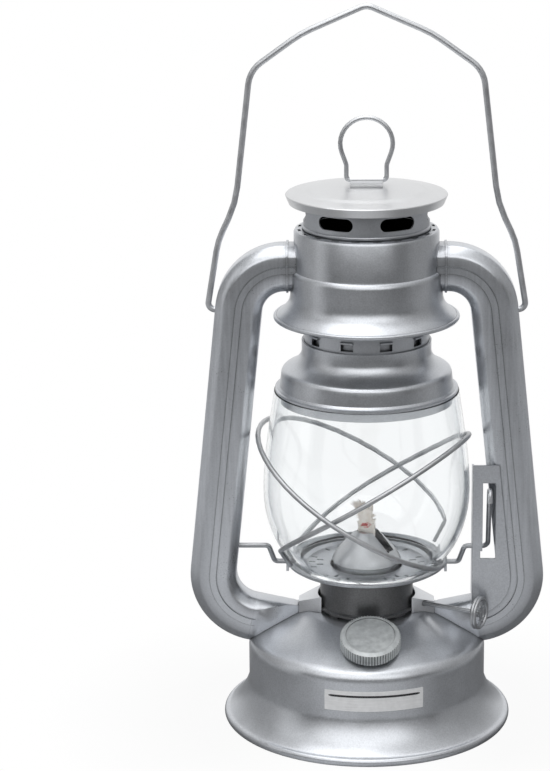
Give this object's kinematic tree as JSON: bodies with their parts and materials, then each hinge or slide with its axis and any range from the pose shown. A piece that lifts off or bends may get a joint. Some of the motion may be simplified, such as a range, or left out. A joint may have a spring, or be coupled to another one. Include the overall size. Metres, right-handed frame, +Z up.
{
  "type": "hurricane lantern",
  "caption": "Kerosene hurricane lantern with tank, side air tubes, glass globe in crossed wire guards, sliding chimney with lift ring, globe lift lever, wick wheel and wire bail.",
  "frame": {"origin": "centre of the base rim on the ground", "axes": "+Z up; the filler cap faces -Y; the lift lever and wick wheel are on +X"},
  "size_m": [0.1382, 0.113, 0.2821],
  "materials": {
    "silver_paint": "silver metallic paint, satin",
    "zinc": "mottled zinc plate",
    "wire": "galvanised wire",
    "tinned": "tinned sheet steel",
    "glass": "clear glass, faint green edge",
    "cotton": "woven cotton tape",
    "rubber": "matt"
  },
  "bodies": {
    "lantern": {"fount_shell": "silver_paint", "fount_bottom": "silver_paint", "filler_neck": "zinc", "burner_neck": "silver_paint", "air_ducts": "silver_paint", "burner_collar": "tinned", "burner_body": "tinned", "wick_tube": "tinned", "burner_cone": "tinned", "left_tube": "silver_paint", "right_tube": "silver_paint", "tube_collars": "silver_paint", "canopy": "silver_paint", "lever_bracket": "silver_paint", "chimney_spring": "wire"},
    "globe_unit": {"globe_plate": "zinc", "globe": "glass", "guard_wire_front": "wire", "guard_wire_rear": "wire"},
    "chimney": {"chimney_tube": "silver_paint", "vent_collar": "silver_paint", "globe_cap": "silver_paint", "hood_cap": "silver_paint", "ring_strap": "silver_paint"},
    "ring": {"lift_ring": "wire"},
    "bail": {"bail": "wire"},
    "lever": {"lift_lever": "wire"},
    "link": {"lift_link": "wire"},
    "wick_drive": {"wick_shaft": "wire", "spur_wheels": "tinned", "thumb_wheel": "wire"},
    "wick": {"wick": "cotton"},
    "filler_seal": {"filler_gasket": "rubber"},
    "cap": {"filler_cap": "zinc"}
  },
  "joints": [
    {"name": "bail_swing", "type": "hinge", "parent": "lantern", "child": "bail", "pos_m": [0, 0, 0.16502], "axis": [1, 0, 0], "range_deg": [-130, 130]},
    {"name": "lever_swing", "type": "hinge", "parent": "lantern", "child": "lever", "pos_m": [0, 0, 0.06953], "axis": [1, 0, 0], "range_deg": [0, 70]},
    {"name": "link_swing", "type": "hinge", "parent": "lantern", "child": "link", "pos_m": [0, 0, 0.06953], "axis": [1, 0, 0], "range_deg": [0, 70]},
    {"name": "globe_lift", "type": "slide", "parent": "lantern", "child": "globe_unit", "axis": [0, 0, 1], "range_m": [0, 0.00987]},
    {"name": "chimney_lift", "type": "slide", "parent": "globe_unit", "child": "chimney", "axis": [0, 0, 1], "range_m": [0, 0.01], "stiffness_N_per_m": 40, "springref_m": -0.02, "deforming": ["chimney_spring"]},
    {"name": "ring_swing", "type": "hinge", "parent": "chimney", "child": "ring", "pos_m": [0, 0, 0.21542], "axis": [1, 0, 0], "range_deg": [-80, 80]},
    {"name": "wick_turn", "type": "hinge", "parent": "lantern", "child": "wick_drive", "pos_m": [0.00269, 0.00528, 0.0474], "axis": [-0.891, 0.454, 0], "range_deg": [-165, 80]},
    {"name": "wick_feed", "type": "slide", "parent": "lantern", "child": "wick", "axis": [0, 0, 1], "range_m": [-0.0126, 0.0061]},
    {"name": "cap_rise", "type": "slide", "parent": "lantern", "child": "filler_seal", "axis": [0, -0.3827, 0.9239], "range_m": [0, 0.006]},
    {"name": "cap_turn", "type": "hinge", "parent": "filler_seal", "child": "cap", "pos_m": [0.0015, -0.0322, 0.03993], "axis": [0, -0.3827, 0.9239], "range_deg": [0, 720]}
  ],
  "couplings": [
    {"joint": "link_swing", "follows": "globe_lift", "rad_per_m": 123.66},
    {"joint": "lever_swing", "follows": "globe_lift", "rad_per_m": 123.66},
    {"joint": "wick_turn", "follows": "wick_feed", "rad_per_m": 227.27},
    {"joint": "cap_turn", "follows": "cap_rise", "rad_per_m": 2094.3}
  ]
}
